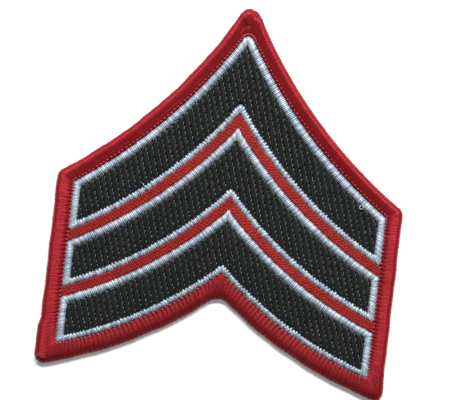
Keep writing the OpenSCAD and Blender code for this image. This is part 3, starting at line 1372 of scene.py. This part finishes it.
@dataclass
class Satin:
    """Pale satin stitches that arch across the outline of one chevron.

    Attributes:
        plan: Plan of the patch.
        finishes: Where the materials come from.
        chevron: The chevron.
        pitch: Spacing of the stitches.
        jitter: Their uneven spacing, as a share of the pitch.
        half_w: Half the width of a stitch.
        half_h: Half its thickness.
        segments: Rings of faces along it.
        sides: Faces round it.
        taper: How its ends narrow.
        core_in: How far the core lies under the solid's face.
        point: How far the middle of a lower chevron's top edge is drawn up to a point.
        point_reach: Distance from the middle over which that fades.
        stray: Usual distance by which an end lies further out or in.
        stray_range: Range of that distance.
        start_up: Height over the cloth at which a stitch starts and ends.
        sink: How far its crest stays under the solid's crown.
        crest_range: Range by which the crest is higher or lower.
        size_range: Range by which the thread is thicker or thinner.
        seed: Start of the random draws, to which the chevron's number is added.
    """

    plan: PatchPlan
    finishes: Finishes
    chevron: Chevron
    pitch: float = 0.4
    jitter: float = 0.15
    half_w: float = 0.23
    half_h: float = 0.13
    segments: int = 8
    sides: int = 6
    taper: Taper = Taper(0.55, 0.18)
    core_in: float = 0.38
    point: float = 0.45
    point_reach: float = 0.7
    stray: float = 0.08
    stray_range: Range = (-0.12, 0.16)
    start_up: float = 0.12
    sink: float = 0.03
    crest_range: Range = (-0.08, 0.03)
    size_range: Range = (-0.15, 0.12)
    seed: int = 100

    def build(self) -> None:
        """Make the outline of this chevron."""
        p, k = self.plan, self.chevron.value
        rng = random.Random(self.seed + k)
        corners = p.field_corners if k == 0 else p.chevron_corners
        outer = p.edges(p.top_arc(k), p.bottom_arc(k), 0.0, corners)
        inner = p.edges(p.top_arc(k), p.bottom_arc(k), p.outline_w, p.inner_corners)
        name = self.chevron.name.lower()
        piece = Piece(f"satin_outline_{name}", self.finishes)
        piece.core(f"outline_{name}", self.core_in)
        strand = Strand(self.segments, self.sides)
        for hand in Hand:
            for edge in Edge:
                style = ODD_SATIN_EDGES.get((self.chevron, edge, hand), SATIN_EDGES[edge])
                band = Band(outer[edge], inner[edge], hand)
                stitches = band.crossings(self.pitch, style.lean, self.jitter * style.rough, rng)
                for i, [(a, b)] in enumerate(stitches):
                    a, b = (a + (b - a) * style.drawn,
                            b + (a - b) * (style.short + style.teeth * (-1) ** i))
                    if edge is Edge.TOP and k > 0:
                        near = max(0.0, 1 - abs(a[0]) / self.point_reach)
                        a = a + np.array([0, self.point * near])
                    self.arch(piece.bm, strand, a, b, style, rng)
        piece.finish([PALE_THREAD, PALE_UNDERLAY], "outline_thread", (f"outline_{name}",))

    def strayed(self, rng: random.Random) -> float:
        """How far one end lies out of line."""
        low, high = self.stray_range
        return min(high, max(low, rng.gauss(0.0, self.stray)))

    def arch(self, bm: bmesh.types.BMesh, strand: Strand, a: np.ndarray, b: np.ndarray,
             style: SatinEdge, rng: random.Random) -> None:
        """Lay one stitch from the outline's outer edge to its inner edge.

        Args:
            bm: Mesh of the piece.
            strand: Tube to copy.
            a: Plan point on the outer edge.
            b: Plan point on the inner edge.
            style: How stitches lie on this edge.
            rng: Source of the unevenness.
        """
        d = (b - a) / (np.linalg.norm(b - a) or 1.0)
        a = a - d * style.rough * self.strayed(rng)
        b = b + d * style.rough * self.strayed(rng)
        t = 0.5 - 0.5 * np.cos(np.linspace(0, math.pi, self.segments + 1))
        flat = a + (b - a) * t[:, None] - np.array([0, self.plan.middle_y])
        skewed = t**style.skew
        dome = np.sqrt(np.clip(4 * skewed * (1 - skewed), 0, 1))
        top = self.plan.cloth_t + self.plan.outline_rise - self.half_h - self.sink
        low = self.plan.cloth_t + self.start_up
        z = low + (top - low + style.rough * rng.uniform(*self.crest_range)) * dome
        size = self.taper.shares(len(t)) * (1 + style.rough * rng.uniform(*self.size_range))
        strand.lay(bm, np.column_stack([flat, z]), level_side(a, b),
                   self.half_w * style.full * size, self.half_h * size)


@dataclass
class Fill:
    """Black fill of one chevron: threads up the patch, each a part of a stitch lower.

    Attributes:
        plan: Plan of the patch.
        finishes: Where the materials come from.
        chevron: The chevron.
        spacing: Distance from thread to thread.
        stitch: Length of a stitch.
        least: Length under which a stitch is left out.
        step_count: Threads after which the places of the stitches come round again.
        drift: How far a thread's stitches may lie higher or lower.
        half_w: Half the width of a stitch.
        half_h: Half its thickness.
        sides: Faces round it.
        rings: Places of its rings, as shares of its length.
        tuck: How far the threads run under the outline.
        overlap: How much further down they run at the chevron's lower edge.
        sway_by: How far an end may lie to one side.
        sink: How far a stitch's crest stays under the solid's face.
        dip: How far its ends lie under its crest.
        dip_by: How far that may differ.
        crest_range: Range by which the crest is higher or lower.
        flatness: Power of the stitch's curve, lower for a flatter back.
        tip: Share of the thickness at its ends.
        size_range: Range of the thickness.
        seed: Start of the random draws, to which the chevron's number is added.
    """

    plan: PatchPlan
    finishes: Finishes
    chevron: Chevron
    spacing: float = 0.335
    stitch: float = 4.28
    least: float = 0.5
    step_count: int = 4
    drift: float = 0.25
    half_w: float = 0.21
    half_h: float = 0.1
    sides: int = 5
    rings: tuple[float, ...] = (0.0, 0.06, 0.3, 0.5, 0.7, 0.94, 1.0)
    tuck: float = 0.2
    overlap: float = 0.36
    sway_by: float = 0.03
    sink: float = 0.02
    dip: float = 0.17
    dip_by: float = 0.05
    crest_range: Range = (-0.03, 0.02)
    flatness: float = 0.7
    tip: float = 0.55
    size_range: Range = (0.93, 1.07)
    seed: int = 200

    def build(self) -> None:
        """Make the fill of this chevron."""
        p, k = self.plan, self.chevron.value
        rng = random.Random(self.seed + k)
        inset = p.outline_w + p.gap
        top = p.top_arc(k).raised(-inset)
        bottom = p.bottom_arc(k).raised(inset - self.overlap)
        name = self.chevron.name.lower()
        piece = Piece(f"fill_stitches_{name}", self.finishes)
        strand = Strand(len(self.rings) - 1, self.sides)
        half = p.half_w - inset
        column = int(-half / self.spacing)
        while column * self.spacing < half:
            x = column * self.spacing
            low = bottom.at(abs(x)).y - self.tuck
            high = top.at(abs(x)).y + self.tuck
            offset = (-(column % self.step_count) * self.stitch / self.step_count
                      + rng.uniform(-self.drift, self.drift))
            y = offset + math.floor((low - offset) / self.stitch) * self.stitch
            while y < high:
                start, end = max(y, low), min(y + self.stitch, high)
                if end - start > self.least:
                    self.run(piece.bm, strand, x, start, end, rng)
                y += self.stitch
            column += 1
        piece.finish([BLACK_THREAD], "fill_thread", (f"fill_{name}",))

    def run(self, bm: bmesh.types.BMesh, strand: Strand, x: float, start: float, end: float,
            rng: random.Random) -> None:
        """Lay one fill stitch.

        Args:
            bm: Mesh of the piece.
            strand: Tube to copy.
            x: Place across the patch.
            start: Its lower end.
            end: Its upper end.
            rng: Source of the unevenness.
        """
        t = np.array(self.rings)
        a, b = (np.array([x + rng.uniform(-self.sway_by, self.sway_by),
                          y - self.plan.middle_y]) for y in (start, end))
        flat = a + (b - a) * t[:, None]
        top = self.plan.cloth_t + self.plan.fill_rise - self.half_h - self.sink
        dip = self.dip + rng.uniform(-self.dip_by, self.dip_by)
        arch = np.sqrt(4 * t * (1 - t)) ** self.flatness
        z = top - dip + (dip + rng.uniform(*self.crest_range)) * arch
        size = np.where((t == 0) | (t == 1), self.tip, 1.0) * rng.uniform(*self.size_range)
        strand.lay(bm, np.column_stack([flat, z]), level_side(a, b),
                   self.half_w * size, self.half_h * size)


@dataclass
class StripeStitches:
    """Short red stitches that cross one stripe in two rows that interlock.

    Attributes:
        plan: Plan of the patch.
        finishes: Where the materials come from.
        stripe: The stripe.
        pitch: Spacing of the threads.
        before: Threads laid before the middle of the patch, of which those that cross it go.
        after: Threads laid past the stripe's end.
        jitter: Uneven spacing, as a share of the pitch.
        half_w: Half the width of a stitch.
        half_h: Half its thickness.
        segments: Rings of faces along it.
        sides: Faces round it.
        taper: How its ends narrow.
        slant: How far a thread leans along the stripe, as a share of its way across.
        splits: Where the two rows meet, on every second thread, as shares of half its width.
        split_by: How far that place may differ.
        overlap: How far each stitch runs on past it.
        clear: Room left beside the border.
        bow: How far a stitch's ends lie under its crest.
        crest_range: Range by which the crest is higher or lower.
        size_range: Range of the thickness.
        core_in: How far the core lies under the solid's face.
        seed: Start of the random draws, to which the stripe's number is added.
    """

    plan: PatchPlan
    finishes: Finishes
    stripe: Stripe
    pitch: float = 0.4
    before: int = 4
    after: int = 2
    jitter: float = 0.1
    half_w: float = 0.25
    half_h: float = 0.11
    segments: int = 5
    sides: int = 5
    taper: Taper = Taper(0.7, 0.2)
    slant: float = 0.21
    splits: tuple[float, float] = (-0.3, 0.3)
    split_by: float = 0.12
    overlap: float = 0.05
    clear: float = 0.1
    bow: float = 0.06
    crest_range: Range = (-0.02, 0.01)
    size_range: Range = (0.94, 1.06)
    core_in: float = 0.1
    seed: int = 300

    def build(self) -> None:
        """Make the stitches of this stripe."""
        p = self.plan
        rng = random.Random(self.seed + self.stripe.value)
        arc = p.row_arc(self.stripe.value)
        name = self.stripe.name.lower()
        piece = Piece(f"stripe_stitches_{name}", self.finishes)
        piece.core(f"stripe_{name}", self.core_in)
        strand = Strand(self.segments, self.sides)
        first, last = arc.heading_from(arc.at(0)), arc.heading_from(arc.at(p.half_w))
        length = abs(last - first) * arc.r
        count = self.before + round(length / self.pitch) + self.after
        for hand in Hand:
            for i in range(count):
                place = i + 0.5 - self.before + rng.uniform(-self.jitter, self.jitter)
                angle = first + math.pi + (last - first) * (place * self.pitch) / length
                self.cross(piece.bm, strand, arc, angle, hand, i, rng)
        piece.finish([STRIPE_THREAD, RED_UNDERLAY], "stripe_thread", (f"stripe_{name}",))

    def cross(self, bm: bmesh.types.BMesh, strand: Strand, arc: Arc, angle: float, hand: Hand,
              number: int, rng: random.Random) -> None:
        """Lay the two stitches of one thread across the stripe.

        Args:
            bm: Mesh of the piece.
            strand: Tube to copy.
            arc: Middle line of the stripe.
            angle: Place along it, about its centre.
            hand: Half of the patch.
            number: Count along the stripe.
            rng: Source of the unevenness.
        """
        p, reach = self.plan, self.plan.stripe_w / 2 - self.plan.gap
        split = self.splits[number % 2] * reach + rng.uniform(-self.split_by, self.split_by)
        lean = self.slant * hand.value
        out = np.array([math.cos(angle), math.sin(angle)])
        on = np.array([-out[1], out[0]])
        for low, high in ((-reach, split + self.overlap), (split - self.overlap, reach)):
            ends = []
            for up in (low, high):
                point = np.array([arc.x, arc.y]) + out * (arc.r - up) + on * lean * up
                x = min(point[0], p.half_w - self.clear)
                ends.append(np.array([x * hand.value, point[1] - p.middle_y]))
            if min(end[0] * hand.value for end in ends) < 0.0:
                continue
            t = np.linspace(0, 1, self.segments + 1)
            flat = ends[0] + (ends[1] - ends[0]) * t[:, None]
            top = p.cloth_t + p.stripe_rise - self.half_h
            arch = np.sqrt(4 * t * (1 - t))
            z = top - self.bow + (self.bow + rng.uniform(*self.crest_range)) * arch
            size = self.taper.shares(len(t)) * rng.uniform(*self.size_range)
            strand.lay(bm, np.column_stack([flat, z]), level_side(ends[0], ends[1]),
                       self.half_w * size, self.half_h * size)


# ---- loose threads ----------------------------------------------------------------------------


def smooth_curve(points: tuple[tuple[float, float, float], ...], steps: int) -> np.ndarray:
    """Smooth line that passes through a few points.

    Args:
        points: The points.
        steps: Straight steps from each to the next.

    Returns:
        The line's points.
    """
    knots = np.array(points, float)
    line = []
    for value in np.linspace(0, len(knots) - 1, steps * (len(knots) - 1) + 1):
        i = min(int(value), len(knots) - 2)
        f = value - i
        p0, p1 = knots[max(i - 1, 0)], knots[i]
        p2, p3 = knots[i + 1], knots[min(i + 2, len(knots) - 1)]
        line.append(0.5 * (2 * p1 + (p2 - p0) * f + (2 * p0 - 5 * p1 + 4 * p2 - p3) * f**2
                           + (3 * p1 - p0 - 3 * p2 + p3) * f**3))
    return np.array(line)


@dataclass(frozen=True)
class LooseThread:
    """One thread that has worked loose, and the points that it passes."""

    name: str
    points: tuple[tuple[float, float, float], ...]
    radius: float
    finish: ThreadFinish
    slot: str | None


LOOSE_LOOP = LooseThread("loose_loop", (
    (28.85, 1.2, 1.6), (29.15, 0.7, 1.85), (28.95, 0.2, 1.9), (28.45, 0.2, 1.8),
    (28.35, 0.6, 1.8), (28.75, 1.1, 1.6)), 0.1, PALE_THREAD, "outline_thread")
STRAY_END = LooseThread("stray_end", (
    (-18.7, -0.6, 1.75), (-19.1, -0.1, 1.85), (-19.4, 0.35, 1.75)),
    0.1, PALE_THREAD, "outline_thread")
CUT_TAIL = LooseThread("cut_tail", (
    (-37.2, -39.1, 1.9), (-37.65, -39.5, 1.95), (-37.95, -40.0, 1.6), (-37.95, -40.6, 0.8)),
    0.36, GREY_THREAD, None)


@dataclass
class LooseThreads:
    """The few threads that have worked loose: a small loop, a stray end and a cut tail.

    Attributes:
        finishes: Where the materials come from.
        threads: The threads.
        steps: Straight steps between two of a thread's points.
        sides: Faces round a thread.
        taper: How its ends narrow.
        up: Direction that a thread's section is squared to, a little off the upright.
    """

    finishes: Finishes
    threads: tuple[LooseThread, ...] = (LOOSE_LOOP, STRAY_END, CUT_TAIL)
    steps: int = 4
    sides: int = 6
    taper: Taper = Taper(0.5, 0.08)
    up: tuple[float, float, float] = (0.05, 0.02, 1.0)

    def build(self) -> None:
        """Make each of them."""
        for thread in self.threads:
            path = smooth_curve(thread.points, self.steps)
            side = np.cross(np.gradient(path, axis=0), np.array(self.up))
            side /= np.linalg.norm(side, axis=1)[:, None] + 1e-9
            piece = Piece(thread.name, self.finishes)
            size = self.taper.shares(len(path)) * thread.radius
            Strand(len(path) - 1, self.sides).lay(piece.bm, path, side, size, size)
            piece.finish([thread.finish], thread.slot)


# ---- studio -----------------------------------------------------------------------------------


@dataclass(frozen=True)
class Studio:
    """Pale floor, a broad strip light from the top of the picture, and the camera.

    Attributes:
        lean: How far the camera is turned, in degrees.
        centre: Place of the patch's plane at the middle of the picture.
        frame_w: Width of the picture at the floor, in millimetres.
        distance: Height of the camera, in metres.
        sensor_w: Width of its sensor, in millimetres.
        clip: Nearest and furthest distance that it sees, in metres.
        key_power: Power of the strip light, in watts.
        key_size: Its length and breadth, in metres.
        key_turn: How far round from the top of the picture it stands, in degrees.
        key_place: Its distance from the middle and its height, in metres.
        sky: Strength of the light from all round.
        sky_tint: Colour of that light.
        floor_reach: Half the floor's breadth, in metres.
        floor_drop: How far it lies under the patch, in metres.
        floor_tones: Darkest and lightest grey of the floor.
        floor_glow: Light that the floor gives.
    """

    lean: float = 6.64
    centre: tuple[float, float] = (-1.07, -1.30)
    frame_w: float = 98.5
    distance: float = 1.0
    sensor_w: float = 36.0
    clip: tuple[float, float] = (0.01, 20.0)
    key_power: float = 12.0
    key_size: tuple[float, float] = (0.8, 0.15)
    key_turn: float = 8.0
    key_place: tuple[float, float] = (0.49, 0.57)
    sky: float = 0.12
    sky_tint: tuple[float, float, float] = (0.93, 0.96, 1.0)
    floor_reach: float = 3.0
    floor_drop: float = 0.0001
    floor_tones: tuple[float, float] = (0.93, 0.97)
    floor_glow: float = 0.18

    def floor(self) -> None:
        """Make the floor."""
        bm = bmesh.new()
        bmesh.ops.create_grid(bm, x_segments=4, y_segments=4, size=self.floor_reach)
        bmesh.ops.translate(bm, verts=list(bm.verts), vec=(0, 0, -self.floor_drop))
        mesh = bpy.data.meshes.new("floor")
        bm.to_mesh(mesh)
        bm.free()
        s = Shader("white_paper")
        grain = s.add("ShaderNodeTexNoise", {"Vector": s.place(), "Scale": 900.0,
                                             "Detail": 2.0})
        base = s.blend(grain.outputs[0], *((tone,) * 3 + (1.0,) for tone in self.floor_tones))
        mesh.materials.append(s.finish(Base_Color=base, Roughness=0.9,
                                       Specular_IOR_Level=0.1, Emission_Color=(1, 1, 1, 1),
                                       Emission_Strength=self.floor_glow))
        floor = bpy.data.objects.new("floor", mesh)
        bpy.context.scene.collection.objects.link(floor)

    def lights(self) -> None:
        """Make the strip light and the even light from all round."""
        a = math.radians(self.lean - self.key_turn)
        up = Vector((-math.sin(a), math.cos(a), 0))
        lamp = bpy.data.lights.new("strip", "AREA")
        lamp.shape = "RECTANGLE"
        lamp.size, lamp.size_y = self.key_size
        lamp.energy = self.key_power
        light = bpy.data.objects.new("strip", lamp)
        light.location = up * self.key_place[0] + Vector((0, 0, self.key_place[1]))
        light.rotation_euler = (-light.location).to_track_quat("-Z", "Y").to_euler()
        bpy.context.scene.collection.objects.link(light)
        world = bpy.data.worlds.new("room")
        world.use_nodes = True
        background = world.node_tree.nodes["Background"]
        background.inputs[0].default_value = (*self.sky_tint, 1)
        background.inputs[1].default_value = self.sky
        bpy.context.scene.world = world

    def camera(self) -> None:
        """Make the camera, straight above with a long lens."""
        lens = bpy.data.cameras.new("camera")
        lens.sensor_width = self.sensor_w
        lens.lens = self.sensor_w * self.distance / (self.frame_w * MM)
        lens.clip_start, lens.clip_end = self.clip
        camera = bpy.data.objects.new("camera", lens)
        camera.location = (self.centre[0] * MM, self.centre[1] * MM, self.distance)
        camera.rotation_euler = (0, 0, math.radians(self.lean))
        bpy.context.scene.collection.objects.link(camera)
        bpy.context.scene.camera = camera
        bpy.context.scene.view_settings.view_transform = "Standard"
        bpy.context.scene.view_settings.look = "None"

    def build(self) -> None:
        """Make the whole studio."""
        self.floor()
        self.lights()
        self.camera()


def dress_ground(finishes: Finishes) -> None:
    """Give the ground cloth its twill.

    Args:
        finishes: Where the material comes from.
    """
    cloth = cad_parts["ground_cloth"]
    cloth.data.materials.clear()
    cloth.data.materials.append(finishes.get(TWILL))


def main() -> None:
    """Build the patch, piece by piece, and the studio round it."""
    logging.basicConfig(level=logging.INFO, format="%(message)s")
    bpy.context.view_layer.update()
    plan, finishes = PatchPlan(), Finishes()
    dress_ground(finishes)
    border = Border(plan, finishes)
    border.build()
    Lap(border).build()
    for chevron in Chevron:
        Satin(plan, finishes, chevron).build()
        Fill(plan, finishes, chevron).build()
    for stripe in Stripe:
        StripeStitches(plan, finishes, stripe).build()
    LooseThreads(finishes).build()
    Studio().build()
    bpy.context.view_layer.update()


if __name__ == "__main__":
    main()
